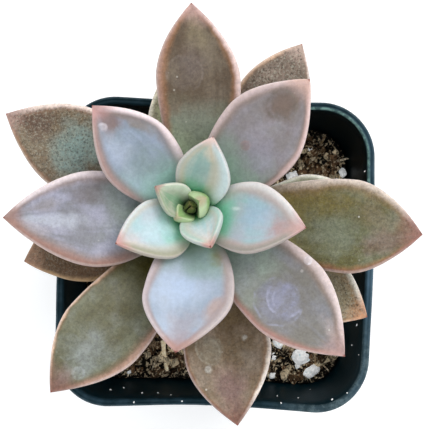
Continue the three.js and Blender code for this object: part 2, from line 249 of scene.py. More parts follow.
def storeValues(piece, name, values):  # a value at each point of a mesh, for its material to read
    layer = piece.data.attributes.new(name, "FLOAT", "POINT")
    for point, value in zip(layer.data, values):
        point.value = value


def finishPiece(piece, replaced=()):
    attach(piece, "root")
    if replaced:
        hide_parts(*replaced)


# the plant: one rule places every leaf, from the bud to the oldest leaf

plant = {
    "foot": (-3.5, 5.3, 40.0),  # where the stem leaves the soil, mm
    "lean": 7.0,  # degrees off plumb
    "leanToward": 112.0,
    "crown": 31.0,  # height of the growing tip above the soil
    "spiralStart": 158.0,
    "stemTop": 27.6,
    "stemRadius": (1.7, 3.7, 4.3),  # at the tip, in the middle and at the soil
    "taper": 9.0,
    "buried": 11.0,
    "sunk": 0.9,  # how far the foot of a leaf reaches into the stem
}

leafRule = {  # at the youngest leaf, at the oldest, and how many leaves it takes to settle
    "footLift": (68, 26, 8),
    "tipLift": (42, 0, 5),
    "cup": (0.35, 0.08, 6),
}
leafDrop = (2.2, 0.6, 0.01)  # from the growing tip to leaf n: first part, times n, times n squared, mm
leafThickness = (2.2, 0.14, 4.6)  # of the narrowest leaf, more for each mm of width, and at most, mm

leafShape = {
    "Sides": 72,
    "Rings": 80,
    "Neck": 0.34,
    "Point": 1.8,
    "Dish": 0.2,  # how far the face sinks between its thick margins
    "Ripple": 0.16 * mm,
}

# youngest first: degrees off the spiral, length and width in mm, bow to its left in mm, and the share of
# its length at which it is widest
leafSizes = {
    "crownA": (-4, 11.3, 6.7, 0.1, 0.54),
    "crownB": (2.5, 12.6, 8.8, 0.5, 0.60),
    "leaf_01": (-1, 17.6, 10.7, -0.6, 0.57),
    "leaf_02": (0, 19.2, 12.4, 1.3, 0.53),
    "leaf_03": (1, 26.5, 13.9, -0.1, 0.58),
    "leaf_04": (11, 29.4, 14.9, 0.2, 0.57),
    "leaf_05": (4, 30.8, 17.2, 1.5, 0.66),
    "leaf_06": (7, 35.1, 17.0, -0.5, 0.61),
    "leaf_07": (8, 37.2, 18.6, 1.1, 0.54),
    "leaf_08": (1.5, 42.7, 16.9, 0.8, 0.63),
    "leaf_09": (-1.5, 40.4, 16.3, -1.5, 0.64),
    "leaf_10": (5, 44.8, 16.4, 1.3, 0.67),
    "leaf_11": (-13.5, 44.9, 18.1, 0, 0.70),
    "leaf_12": (9, 40.7, 17.3, -0.2, 0.62),
    "leaf_13": (1, 42.3, 16.9, 1.3, 0.67),
    "leaf_14": (-2, 38.9, 15.3, -1.9, 0.65),
    "leaf_15": (0, 33.5, 15.9, -0.4, 0.62),
    "leaf_16": (-5, 39.0, 14.6, -0.3, 0.69),
    "leaf_17": (-8.5, 27.1, 11.3, -0.4, 0.61),
    "leaf_18": (-17, 30.2, 13.0, 0, 0.62),
    "leaf_19": (-15, 29.3, 11.3, -2.2, 0.69),
}

# the closed leaves of the bud: steps up the spiral, degrees off it, distance from the axis, length, width
# and the degrees that the foot and the tip rise
budSizes = {
    "budA": (2, -23, 0.6, 6.4, 4.6, 72, 56),
    "budB": (1, 9, 1.1, 6.6, 5.6, 74, 84),
    "budC": (3, 0, 0.3, 4.9, 2.7, 84, 92),
    "budD": (4, 0, 0.2, 4.2, 2.3, 86, 94),
}
budShape = {"Cup": 0.25, "Bow": 0.0, "Widest": 0.6, "Sides": 40, "Rings": 40, "Ripple": 0.04 * mm}
budRise = (1.1, 0.35)  # how far the first foot lies over the stem's top, and each next one over it, mm
budFlesh = 0.55  # thickness to width


def stemRadius(z):
    tip, middle, foot = plant["stemRadius"]
    t = min(1, max(0, (plant["stemTop"] - z) / plant["taper"]))
    upper = lerp(tip, middle, math.sin(t * math.pi / 2))
    share = 1 + z / (1.6 * plant["buried"]) if z < 0 else math.exp(-z / 3)
    return lerp(upper, foot, share)


def dropOf(n):  # how far below the growing tip leaf n leaves the stem
    first, each, more = leafDrop
    return first + each * n + more * n * n


def settled(name, n):
    young, old, pace = leafRule[name]
    return old + (young - old) * math.exp(-n / pace)


def makeLeafTree():
    sizes = {
        "Length": 40 * mm, "Width": 18 * mm, "Thickness": 4.6 * mm, "Start": 3 * mm, "Foot Lift": 0.7,
        "Tip Lift": 0.1, "Cup": 0.1, "Bow": 0.0, "Spin": 0.0, "Climb": 20 * mm, "Foot": (0.0, 0.0, 0.0),
        "Lean Axis": (0.0, 1.0, 0.0), "Lean": 0.0, "Widest": 0.6, "Neck": 0.3, "Point": 1.8, "Dish": 0.06,
        "Ripple": 0.0, "Seed": 0.0, "Sides": 48, "Rings": 60, "Material": None,
    }
    tree, given, result = newShapeTree("leafBlade", sizes)
    ball = addNode(tree, "GeometryNodeMeshUVSphere", given["Sides"], given["Rings"], 1.0)
    x, y, z = split(addNode(tree, "GeometryNodeInputPosition"))
    s = (1.0 - z) * 0.5  # 0 at the foot, 1 at the tip
    flat = calc("MAXIMUM", calc("SQRT", x * x + y * y), 1e-6)
    across = x * -1.0 / flat
    over = y / flat  # 1 on top, -1 on the back

    inner = sine(calc("DIVIDE", s, given["Widest"], clamp=True) * (math.pi / 2)) ** 1.3
    inner = inner * (1.0 - given["Neck"]) + given["Neck"]  # widens from the neck
    beyond = calc("DIVIDE", s - given["Widest"], 1.0 - given["Widest"], clamp=True)
    outer = 1.0 - beyond ** given["Point"]  # and narrows to the point
    half = inner * outer * (given["Width"] * 0.5)

    fill = sine(calc("MINIMUM", s * 2.0, 1.0) * (math.pi / 2)) * 0.45 + 0.55
    close = calc("SQRT", calc("MAXIMUM", 1.0 - s ** 6.0, 0.0))
    thick = fill * close * given["Thickness"]  # thin at the foot, closed at the tip
    rise = abs(over)
    topSide = rise ** 0.6 * (given["Dish"] + 0.30) - rise ** 3.0 * (given["Dish"] + 0.10)
    backSide = rise ** 4.0 * -0.16 + rise * -0.5
    face = (topSide - backSide) * calc("GREATER_THAN", over, 0.0) + backSide
    up = face * thick + given["Cup"] * half * (across * across)  # a sunk face, a full back, raised sides

    turn = given["Tip Lift"] - given["Foot Lift"]
    lift = turn * s + given["Foot Lift"]
    radius = given["Length"] / turn  # the leaf curves down along an arc of a circle
    out = radius * (sine(lift) - sine(given["Foot Lift"])) + given["Start"] - up * sine(lift)
    high = up * cosine(lift) + radius * (cosine(given["Foot Lift"]) - cosine(lift))
    side = half * across + given["Bow"] * sine(s * math.pi)
    place = addNode(tree, "ShaderNodeCombineXYZ", out, side, high)

    kept = ball
    rim = half * (1.0 - abs(across))  # how far in from the edge
    kind = {"data_type": "FLOAT", "domain": "POINT"}
    for title, value in (("along", s), ("across", across), ("upper", over), ("rim", rim)):
        kept = addNode(tree, "GeometryNodeStoreNamedAttribute", settings=kind,
                       Geometry=kept, Name=title, Value=value)
    moved = addNode(tree, "GeometryNodeSetPosition", Geometry=kept, Position=place)
    wave = grain(addNode(tree, "GeometryNodeInputPosition"), 110.0, 1.0, 0.4, given["Seed"])
    wave = (wave - 0.5) * (given["Ripple"] * 2.0)
    push = scaled(addNode(tree, "GeometryNodeInputNormal"), wave)
    moved = addNode(tree, "GeometryNodeSetPosition", Geometry=moved, Offset=push)

    spin = addNode(tree, "ShaderNodeCombineXYZ", Z=given["Spin"])
    lifted = addNode(tree, "ShaderNodeCombineXYZ", Z=given["Climb"])
    onStem = addNode(tree, "GeometryNodeTransform", Geometry=moved, Translation=lifted, Rotation=spin)
    lean = addNode(tree, "FunctionNodeAxisAngleToRotation", Axis=given["Lean Axis"], Angle=given["Lean"])
    foot = given["Foot"]
    stood = addNode(tree, "GeometryNodeTransform", Geometry=onStem, Translation=foot, Rotation=lean)
    endTree(result, stood, given["Material"], True)
    return tree


leafTree = makeLeafTree()
leanToward = math.radians(plant["leanToward"])
plantValues = {
    "Foot": tuple(v * mm for v in plant["foot"]),
    "Lean Axis": (-math.sin(leanToward), math.cos(leanToward), 0.0),
    "Lean": math.radians(plant["lean"]),
}


def growBlade(name, length, width, thickness, start, climb, turn, lifts, material, more):  # mm and degrees
    values = {**plantValues, **leafShape, **more}
    values.update({
        "Length": length * mm, "Width": width * mm, "Thickness": thickness * mm, "Start": start * mm,
        "Climb": climb * mm, "Spin": math.radians(plant["spiralStart"] + turn),
        "Foot Lift": math.radians(lifts[0]), "Tip Lift": math.radians(lifts[1]), "Material": material,
    })
    return growMesh(name + "_blade", leafTree, values)


def growLeaf(name, n, off, length, width, bow, fullest, material):
    height = plant["crown"] - dropOf(n)
    thin, perWidth, thickest = leafThickness
    thickness = min(thickest, thin + perWidth * width)
    start = stemRadius(height) - plant["sunk"]
    turn = goldenAngle * n + off
    lifts = settled("footLift", n), settled("tipLift", n)
    more = {"Cup": settled("cup", n), "Bow": bow * mm, "Widest": fullest, "Seed": 3.7 * n + 1.0}
    return growBlade(name, length, width, thickness, start, height, turn, lifts, material, more)


def growBudLeaf(name, steps, off, start, length, width, foot, tip, material):
    climb = plant["stemTop"] + budRise[0] + budRise[1] * list(budSizes).index(name)
    turn = off - goldenAngle * steps
    more = {**budShape, "Seed": 90.0 + steps}
    thickness = budFlesh * width
    return growBlade(name, length, width, thickness, start, climb, turn, (foot, tip), material, more)


# leaf skins: every leaf has its own tones, dusty and brown when old, mint green at the heart

lightShare = 0.8  # the share of a tone that the skin keeps, as the lamps brighten it
skinTones = {
    "frost": (214, 222, 236), "lip": (244, 228, 224), "point": (130, 66, 56), "speck": (58, 44, 32),
    "paleSpeck": (170, 172, 156), "dust": (210, 208, 198),
}
skinLight = {
    "Sheen Weight": 0.05, "Sheen Roughness": 0.5, "Subsurface Weight": 0.12, "Subsurface Scale": 0.0012,
    "Subsurface Radius": (0.8, 0.7, 0.35),
}
lookKeys = ("foot", "face", "cast", "crease", "right", "left", "tip", "bands", "speckle", "bloom", "dust")
# seven tones, width in mm of the right and left margin, how speckled, powdery and dusty the skin is. The
# tones hold painted light: the foot tone is partly painted shade deep in the rosette, the margin that faces
# the window lamp is partly a painted highlight, and leaves that lie under others are given lighter tones
# against their shade
leafLooks = {
    "crownA": ((8, 78, 10), (138, 174, 140), (196, 196, 176), (188, 196, 172), (214, 228, 204),
        (150, 172, 134), (202, 160, 148), (1.6, 0.8), 0.0, 0.0, 0.0),
    "crownB": ((46, 144, 61), (196, 224, 228), (224, 226, 224), (216, 208, 194), (192, 214, 202),
        (192, 222, 214), (226, 168, 156), (1.4, 1.0), 0.0, 0.1, 0.0),
    "bud": ((30, 90, 16), (156, 194, 124), (186, 206, 156), (170, 200, 134), (204, 222, 178),
        (198, 220, 170), (196, 182, 150), (0.5, 0.5), 0.0, 0.0, 0.0),
    "heart": ((20, 60, 10), (84, 100, 44), (98, 114, 54), (80, 92, 40), (92, 104, 50), (88, 100, 46),
        (104, 100, 56), (0.5, 0.5), 0.0, 0.0, 0.0),
    "leaf_01": ((72, 175, 120), (150, 180, 170), (176, 192, 182), (204, 190, 164), (211, 228, 228),
        (184, 189, 180), (244, 212, 204), (2.0, 0.9), 0.0, 0.1, 0.0),
    "leaf_02": ((112, 214, 160), (192, 222, 226), (204, 216, 224), (218, 208, 192), (220, 228, 228),
        (174, 172, 150), (222, 166, 160), (0.8, 1.4), 0.0, 0.2, 0.0),
    "leaf_03": ((134, 222, 180), (168, 198, 203), (182, 190, 199), (194, 166, 154), (162, 155, 145),
        (230, 226, 224), (218, 174, 170), (1.4, 1.7), 0.0, 0.2, 0.1),
    "leaf_04": ((172, 214, 204), (144, 158, 170), (162, 174, 194), (142, 120, 110), (255, 236, 238),
        (174, 144, 138), (200, 154, 150), (1.3, 1.0), 0.05, 0.3, 0.1),
    "leaf_05": ((157, 189, 160), (168, 181, 198), (182, 195, 214), (174, 146, 136), (208, 194, 198),
        (196, 184, 184), (188, 144, 132), (1.0, 1.2), 0.0, 0.3, 0.1),
    "leaf_06": ((175, 208, 187), (141, 134, 134), (151, 144, 150), (144, 122, 108), (212, 180, 176),
        (214, 192, 190), (220, 184, 172), (0.9, 1.2), 0.1, 0.3, 0.1),
    "leaf_07": ((162, 176, 168), (142, 142, 150), (172, 172, 190), (154, 132, 124), (239, 225, 228),
        (164, 126, 114), (166, 130, 118), (1.1, 1.6), 0.15, 0.4, 0.2),
    "leaf_08": ((190, 212, 198), (132, 128, 121), (144, 143, 148), (150, 126, 110), (178, 134, 124),
        (228, 210, 208), (188, 152, 146), (1.1, 1.5), 0.15, 0.2, 0.5),
    "leaf_09": ((190, 206, 174), (96, 79, 61), (126, 112, 94), (158, 108, 70), (230, 202, 196),
        (180, 144, 128), (204, 166, 158), (1.0, 0.9), 0.3, 0.0, 0.3),
    "leaf_10": ((86, 78, 14), (104, 101, 74), (123, 125, 102), (130, 104, 78), (226, 190, 160),
        (181, 145, 127), (134, 94, 82), (0.6, 1.0), 0.35, 0.2, 0.4),
    "leaf_11": ((204, 180, 112), (98, 95, 50), (122, 125, 98), (146, 114, 74), (150, 104, 75),
        (216, 200, 186), (154, 106, 96), (0.8, 1.4), 0.5, 0.1, 1.0),
    "leaf_12": ((128, 152, 148), (119, 99, 74), (129, 114, 91), (146, 110, 90), (255, 233, 222),
        (151, 116, 74), (178, 144, 134), (1.0, 0.5), 0.9, 0.0, 0.3),
    "leaf_13": ((180, 153, 102), (126, 105, 80), (160, 141, 121), (152, 114, 84), (123, 81, 57),
        (255, 243, 229), (134, 90, 76), (0.6, 0.8), 0.45, 0.1, 0.7),
    "leaf_14": ((110, 92, 74), (130, 112, 98), (148, 130, 116), (144, 116, 94), (216, 198, 190),
        (228, 192, 162), (203, 177, 164), (0.6, 0.6), 1.0, 0.0, 0.3),
    "leaf_15": ((100, 78, 54), (110, 84, 60), (130, 102, 78), (112, 88, 64), (172, 142, 118),
        (168, 136, 98), (176, 138, 112), (0.5, 0.6), 0.7, 0.0, 0.2),
    "leaf_16": ((140, 128, 96), (146, 134, 104), (168, 154, 126), (158, 124, 84), (214, 188, 156),
        (255, 252, 240), (211, 151, 110), (0.7, 1.3), 1.0, 0.0, 0.3),
    "leaf_17": ((176, 184, 144), (186, 190, 152), (200, 198, 164), (170, 160, 130), (214, 206, 180),
        (255, 250, 226), (190, 160, 130), (0.6, 0.9), 0.8, 0.0, 0.2),
    "leaf_18": ((104, 92, 66), (114, 100, 74), (126, 110, 84), (100, 80, 60), (168, 140, 110),
        (168, 140, 110), (150, 110, 84), (0.8, 0.8), 0.8, 0.0, 0.3),
    "leaf_19": ((150, 164, 126), (170, 182, 158), (182, 190, 168), (165, 160, 130), (214, 216, 196),
        (250, 252, 236), (190, 160, 130), (0.7, 0.9), 0.6, 0.0, 0.2),
}

# soft patches: share of the length, place from right -1 to left 1, how far they reach, tone, strength
clouds = {
    "crownB": [(0.86, 0.0, 0.12, 0.8, (230, 212, 204), 0.5)],
    "leaf_01": [(0.60, 0.15, 0.18, 0.4, (138, 172, 166), 0.6),
        (0.84, -0.1, 0.10, 0.6, (214, 204, 184), 0.8)],
    "leaf_02": [(0.45, 0.0, 0.10, 0.5, (186, 226, 228), 0.55),
        (0.60, 0.0, 0.14, 0.5, (206, 234, 242), 0.6), (0.85, 0.0, 0.10, 0.6, (218, 206, 204), 0.6)],
    # the first patch of leaf_03 is a painted highlight, a thin whitish gloss streak
    "leaf_03": [(0.43, 0.24, 0.05, 0.07, (226, 240, 236), 0.6),
        (0.60, 0.1, 0.14, 0.5, (168, 196, 218), 0.6), (0.86, -0.1, 0.13, 0.6, (188, 148, 142), 0.75),
        (0.34, -0.6, 0.12, 0.4, (130, 190, 150), 0.5)],
    # the first patch of leaf_04 is painted shade, a brown shadow inside the leaf near its tip
    "leaf_04": [(0.86, -0.05, 0.13, 0.6, (138, 112, 104), 0.85),
        (0.74, -0.62, 0.18, 0.2, (150, 134, 122), 0.7), (0.68, 0.3, 0.14, 0.4, (180, 190, 208), 0.6),
        (0.50, 0.1, 0.12, 0.4, (136, 152, 156), 0.5)],
    "leaf_05": [(0.60, -0.2, 0.12, 0.5, (192, 210, 236), 0.7),
        (0.72, 0.64, 0.09, 0.22, (198, 168, 156), 0.75), (0.84, 0.05, 0.12, 0.6, (174, 164, 170), 0.6),
        (0.42, 0.2, 0.10, 0.6, (134, 160, 150), 0.6), (0.36, 0.65, 0.07, 0.25, (140, 142, 66), 0.6)],
    "leaf_06": [(0.82, 0.05, 0.13, 0.6, (124, 100, 86), 0.8),
        (0.52, -0.3, 0.12, 0.5, (156, 152, 166), 0.6)],
    "leaf_07": [(0.74, 0.05, 0.20, 0.2, (192, 196, 208), 0.8),
        (0.86, 0.4, 0.10, 0.3, (192, 184, 190), 0.6), (0.56, -0.55, 0.12, 0.35, (116, 108, 104), 0.7),
        (0.80, -0.4, 0.10, 0.2, (150, 142, 138), 0.6)],
    "leaf_08": [(0.90, 0.3, 0.08, 0.4, (198, 182, 178), 0.7),
        (0.72, -0.2, 0.12, 0.5, (132, 128, 122), 0.5)],
    "leaf_09": [(0.42, 0.0, 0.12, 0.9, (142, 152, 136), 0.7), (0.60, 0.1, 0.12, 0.5, (104, 88, 70), 0.6),
        (0.86, -0.1, 0.12, 0.5, (146, 132, 104), 0.6), (0.72, 0.1, 0.10, 0.4, (118, 104, 98), 0.6)],
    "leaf_10": [(0.78, 0.1, 0.14, 0.6, (140, 146, 140), 0.8),
        (0.92, 0.0, 0.06, 0.5, (160, 140, 136), 0.6), (0.52, -0.2, 0.14, 0.5, (98, 94, 62), 0.6)],
    "leaf_11": [(0.55, 0.5, 0.20, 0.4, (126, 112, 56), 0.7),
        (0.68, -0.1, 0.14, 0.4, (120, 128, 108), 0.5), (0.86, -0.35, 0.12, 0.4, (142, 108, 106), 0.5),
        (0.80, 0.3, 0.12, 0.4, (138, 122, 98), 0.5)],
    "leaf_12": [(0.62, 0.0, 0.14, 0.8, (140, 166, 160), 0.9),
        (0.86, -0.2, 0.13, 0.6, (102, 76, 62), 0.85)],
    "leaf_13": [(0.85, 0.0, 0.14, 0.6, (134, 102, 98), 0.8), (0.70, 0.3, 0.12, 0.4, (112, 94, 66), 0.6)],
}

waterMarks = {  # place in mm on the plan, tone, strength, radius of each ring in mm
    "leaf_08": [((12.1, -8.3), (144, 146, 166), 0.6, (4.4,)),
        ((13.2, -7.9), (156, 158, 182), 0.75, (3.2, 2.1)), ((17.4, -0.4), (250, 244, 248), 0.75, (0.8,)),
        ((16.4, -2.4), (214, 208, 206), 0.5, (0.3,))],
    "leaf_06": [((11.4, 28.8), (108, 98, 88), 0.7, (3.1,)), ((5.1, 21.1), (156, 116, 108), 0.6, (0.9,))],
    "leaf_13": [((-0.4, -18.2), (146, 138, 120), 0.75, (2.7, 1.9)),
        ((6.2, -15.5), (204, 202, 194), 0.6, (0.45,)), ((-0.7, -21.7), (206, 204, 196), 0.5, (0.5,)),
        ((1.9, -18.5), (200, 196, 186), 0.4, (0.3,))],
    "leaf_04": [((-12.2, 18.2), (136, 154, 154), 0.5, (2.8, 1.6)),
        ((-22.0, 23.6), (212, 204, 212), 0.5, (0.8,))],
    "leaf_10": [((-27.0, -17.9), (140, 148, 140), 0.4, (2.4,)),
        ((-25.0, -23.0), (166, 172, 174), 0.4, (1.3,))],
    "leaf_09": [((-6.9, 35.0), (122, 110, 102), 0.4, (3.4,))],
    "leaf_05": [((-0.9, -2.6), (150, 170, 176), 0.35, (2.3, 1.3))],
}


def lit(tone):
    return tuple(c * lightShare for c in srgb(*tone)[:3]) + (1,)


def addCloud(at, colour, ragged, centre, side, reach, spread, tone, strength):
    x = (at.along - centre) / reach
    y = (at.across - side) / spread
    away = calc("SQRT", x * x + y * y) + ragged
    return blendColour(ease(away, 0.25, 1.25, strength, 0.0), colour, lit(tone))


def addDropMark(at, colour, seed, centre, tone, strength, radii):  # the mark of a dried water drop
    offset = vectorCalc("SUBTRACT", at.place, (centre[0] * mm, centre[1] * mm, 0))
    away = vectorCalc("LENGTH", vectorCalc("MULTIPLY", offset, (1, 1, 0)))
    away = (grain(at.place, 190.0, 3.0, 0.55, seed + 2) - 0.5) * (1.8 * mm) + away
    seen = ease(at.upper, 0.0, 0.2)
    worn = ease(grain(at.place, 330.0, 4.0, 0.65, seed + 6), 0.38, 0.60, 0.35, 1.0)
    outermost = max(radii) * mm
    fill = ease(away, outermost * 0.75, outermost * 1.1, strength, 0.0) * seen
    colour = blendColour(fill * worn, colour, lit(tone))
    pale = tuple(min(255, c + 22) for c in tone)
    for i, radius in enumerate(radii):  # the thin broken line where the drop's edge stood still
        broken = ease(grain(at.place, 260.0, 3.0, 0.6, seed + 20 + i), 0.42, 0.60)
        line = ease(abs(away - radius * mm), 0.04 * mm, 0.38 * mm, 0.9 * strength, 0.0) * seen
        colour = blendColour(line * broken, colour, lit(pale))
    return colour


def paintFace(at, look, seed, patches):  # mottled, greener to the foot, partly painted shade or light there, with a whitish frost
    lengthwise = addNode(at.place.tree, "ShaderNodeCombineXYZ", at.across * 3.0, at.along)
    mottle = grain(lengthwise, 2.0, 4.0, 0.6, seed + 1) * 0.3 + at.broad * 0.7
    colour = blendColour(ease(mottle, 0.42, 0.60), lit(look.face), lit(look.cast))
    reach = (at.broad - 0.5) * 0.35 + at.along
    # the foot tone: the leaf's greener base, darkened as painted shade on young leaves deep in the rosette
    # and lightened as painted light on older leaves whose feet lie under others
    colour = blendColour(ease(reach, 0.22, 0.58, 1.0, 0.0), colour, lit(look.foot))
    ragged = (grain(at.place, 320.0, 4.0, 0.6, seed + 5) - 0.5) * 1.6
    for patch in patches:
        colour = addCloud(at, colour, ragged, *patch)
    frost = ease(grain(at.place, 230.0, 4.0, 0.5, seed + 9), 0.50, 0.72, 0.0, 0.5 * look.bloom)
    return blendColour(frost, colour, lit(skinTones["frost"]))


def paintMargins(at, look, seed, colour, redness):  # frayed, with painted shade along the crease inside them and a painted highlight at the very edge
    grown = ease(at.along, 0.15, 0.5)
    # the margin tones: the margin's own pale pink, paler on the side that faces the window lamp as painted
    # light
    margin = blendColour(ease(at.across, -0.25, 0.25), lit(look.right), lit(look.left))
    band = ease(at.across, -0.25, 0.25, look.bands[0] * mm, look.bands[1] * mm)
    band = band * ease(grain(at.place, 75.0, 1.0, 0.4, seed + 6), 0.3, 0.7, 0.75, 1.3)
    frayed = (grain(at.place, 420.0, 3.0, 0.6, seed + 3) - 0.5) * (1.3 * look.rough * mm)
    frayed = (frayed + at.rim) / band
    # painted shade: a darker band in the crease between margin and face
    colour = blendColour(ease(frayed, 0.9, 2.3, 0.75, 0.0) * grown, colour, lit(look.crease))
    colour = blendColour(ease(frayed, 0.35, 1.45, 1.0, 0.0) * grown, colour, margin)
    # painted highlight: a thin pale line on the rounded very edge of the margin
    paleness = 0.35 if look.bands[0] > 0.5 else 0.0
    lip = ease(at.rim, 0.15 * mm, 0.6 * mm, paleness, 0.0) * grown
    colour = blendColour(lip, colour, lit(skinTones["lip"]))
    ends = grain(at.place, 300.0, 2.0, 0.5, seed + 4) * 0.08 + at.along
    colour = blendColour(ease(ends, 0.90, 1.02, 0.0, 0.85), colour, lit(look.tip))
    point = ease(at.along, 0.986, 0.998, 0.0, redness)
    return blendColour(point, colour, srgb(*skinTones["point"]))


def paintSpecks(at, look, seed, colour):  # dark and pale specks, pores and flecks of dust
    inner = ease(at.rim, 0.3 * mm, 1.6 * mm, 0.3, 1.0) * look.speckle
    dark = ease(at.fine, 0.48, 0.66) * (inner * 0.8)
    colour = blendColour(dark, colour, srgb(*skinTones["speck"]))
    pale = ease(grain(at.place, 2500.0, 3.0, 0.75, seed + 11), 0.48, 0.64)
    colour = blendColour(pale * (inner * (0.5 * look.speckle)), colour, srgb(*skinTones["paleSpeck"]))
    pores = grain(at.place, 1250.0, 4.0, 0.75, seed + 12)
    pores = ease(pores, 0.36, 0.64, 1 - 0.2 * look.rough, 1 + 0.15 * look.rough)
    even = addNode(pores.tree, "ShaderNodeCombineColor", pores, pores, pores)
    colour = blendColour(1.0, colour, even, "MULTIPLY")
    flecks = ease(cells(at.place, 420.0), 0.05, 0.11, 0.6 * min(1.0, 2 * look.dust), 0.0)
    flecks = flecks * ease(grain(at.place, 150.0, 2.0, 0.5, seed), 0.54 - 0.06 * look.dust, 0.60)
    flecks = flecks * calc("GREATER_THAN", at.upper, 0.1)
    return blendColour(flecks, colour, srgb(*skinTones["dust"]))


def makeLeafSkin(name, values, seed, marks=(), patches=(), redness=1.0):
    look = SimpleNamespace(**dict(zip(lookKeys, values)))
    look.rough = 0.3 + 0.7 * min(1.0, 2.5 * look.speckle)
    material, shader, place = newMaterial(name, 0.5, 0.3)
    at = SimpleNamespace(place=place)
    for title in ("along", "across", "rim", "upper"):
        setattr(at, title, surfaceValue(material, title))
    at.broad = grain(place, 170.0, 3.0, 0.4 + 0.2 * look.speckle, seed)
    at.fine = grain(place, 2200.0, 3.0, 0.7, seed + 7)
    colour = paintFace(at, look, seed, patches)
    colour = paintMargins(at, look, seed, colour, redness)
    for mark in marks:
        colour = addDropMark(at, colour, seed, *mark)
    plug(shader.inputs["Base Color"], paintSpecks(at, look, seed, colour))
    for title, value in skinLight.items():
        shader.inputs[title].default_value = value
    plug(shader.inputs["Roughness"], ease(at.broad, 0.3, 0.7, 0.56, 0.42))
    addBump(shader, at.fine * 0.3 + grain(place, 520.0, 3.0, 0.55, seed + 8), 0.16 * mm, 0.6)
    return material


for n, (name, sizes) in enumerate(leafSizes.items()):
    marks, patches = waterMarks.get(name, ()), clouds.get(name, ())
    skin = makeLeafSkin(name + "_skin", leafLooks[name], 11.0 + 4.3 * n, marks, patches)
    piece = growLeaf(name, n, *sizes, skin)
    if name.startswith("leaf"):
        finishPiece(piece, [name])
    else:
        finishPiece(piece, ["crown"])
print("leaves made")

budSkin = makeLeafSkin("bud_skin", leafLooks["bud"], 7.0, redness=0.15)
heartSkin = makeLeafSkin("heart_skin", leafLooks["heart"], 8.0, redness=0.15)
for name, sizes in budSizes.items():
    skin = heartSkin if name in ("budC", "budD") else budSkin
    finishPiece(growBudLeaf(name, *sizes, skin), ["crown"])
print("bud made")


# the stem, a turned stalk with the scars of its fallen leaves

stemLook = {
    "skin": (122, 120, 84), "shade": (92, 84, 58), "scar": (168, 152, 118), "sides": 72, "rings": 150,
    "scars": 7, "scarSize": (1.9, 0.8, 0.4),  # half their width and height, and how far they stand out, mm
    "lumps": 0.12, "scarLift": 1.2,
}


def makeStemSkin():
    material, shader, place = newMaterial("stemSkin", 0.65, 0.3)
    patches = ease(grain(place, 300.0, 4.0, 0.6, 2.0), 0.35, 0.65)
    colour = blendColour(patches, srgb(*stemLook["skin"]), srgb(*stemLook["shade"]))
    colour = blendColour(surfaceValue(material, "scar"), colour, srgb(*stemLook["scar"]))
    plug(shader.inputs["Base Color"], colour)
    addBump(shader, grain(place, 1400.0, 4.0, 0.65, 4.0), 0.15 * mm, 0.6)
    return material


def makeStem():
    scars = []  # turn and height of each, further down the same spiral
    for n in range(len(leafSizes), len(leafSizes) + stemLook["scars"]):
        turn = math.radians(plant["spiralStart"] + goldenAngle * n)
        scars.append((turn, plant["crown"] - dropOf(n) + stemLook["scarLift"]))
    halfWidth, halfHeight, proud = stemLook["scarSize"]
    lean = Matrix.Rotation(plantValues["Lean"], 4, Vector(plantValues["Lean Axis"]))
    lean = Matrix.Translation(plantValues["Foot"]) @ lean
    rings, marks = [], []
    for r in range(stemLook["rings"] + 1):
        z = lerp(-plant["buried"], plant["stemTop"], r / stemLook["rings"])
        ring = []
        for i in range(stemLook["sides"]):
            angle = 2 * math.pi * i / stemLook["sides"]
            radius = stemRadius(z) - stemLook["lumps"]
            mark = 0.0
            for at, height in scars:
                turn = (angle - at + math.pi) % (2 * math.pi) - math.pi
                away = math.hypot(turn * radius / halfWidth, (z - height) / halfHeight)
                mark = max(mark, math.exp(-away ** 4))
            marks.append(min(1.0, mark * 1.2))
            bumpy = noise.noise(Vector((math.cos(angle) * 1.5, math.sin(angle) * 1.5, z * 0.45)))
            radius += proud * mark + stemLook["lumps"] * bumpy
            ring.append(lean @ (Vector((radius * math.cos(angle), radius * math.sin(angle), z)) * mm))
        rings.append(ring)
    piece = pieceFromRings("stem_stalk", rings, makeStemSkin())
    storeValues(piece, "scar", marks)
    finishPiece(piece, ["stem"])


makeStem()
print("stem made")


# the pot, a thin moulded square cup with a stepped rim

pot = {
    "height": 56.0, "baseHalf": 22.5, "neckHalf": 30.5, "rimHalf": 31.75, "rimHeight": 3.6,
    "wall": 1.0, "floor": 1.4, "baseCorner": 6.5, "rimCorner": 11.2, "cornerSteps": 18, "sideSteps": 14,
    "drainRadius": 2.8, "drainOffset": 12.5, "slotRadius": 2.2, "slotLift": 1.2,
    "bow": (0.5, -0.7, 0.3, -1.1),  # how far the middle of its right, far, left and near side bows out
    "wobble": 0.1,  # how far the thin rim wavers, mm
    # the teal is painted light on the inner wall, the scuff tone also paints a highlight on the rim's right
    # side, and the last two tones paint highlights along the rim's edges
    "black": (2, 10, 13), "litWallTeal": (0, 34, 44), "scuffAndSheen": (74, 100, 118), "rim": (18, 40, 48),
    "paleSlate": (92, 110, 116), "shine": (128, 166, 160),
}
rimSteps = (  # how far in and how far down each step of the rounded rim lies from its outer top edge, mm
    (0.1, 0.2), (0.3, 0.03), (0.5, 0.0), (0.62, 0.1), (0.75, 0.14), (0.88, 0.1), (1.0, 0.02), (1.25, 0.03),
    (1.45, 0.2), (1.6, 0.5),
)


def wallHalf(z):
    return lerp(pot["baseHalf"], pot["neckHalf"], z / (pot["height"] - pot["rimHeight"]))


def wallCorner(z):
    return lerp(pot["baseCorner"], pot["rimCorner"] - 0.8, z / pot["height"])


def wallRow(z, inset=0.0, lift=0.0):  # half width, corner radius and height
    return wallHalf(z) - inset, wallCorner(z) - inset, z + lift


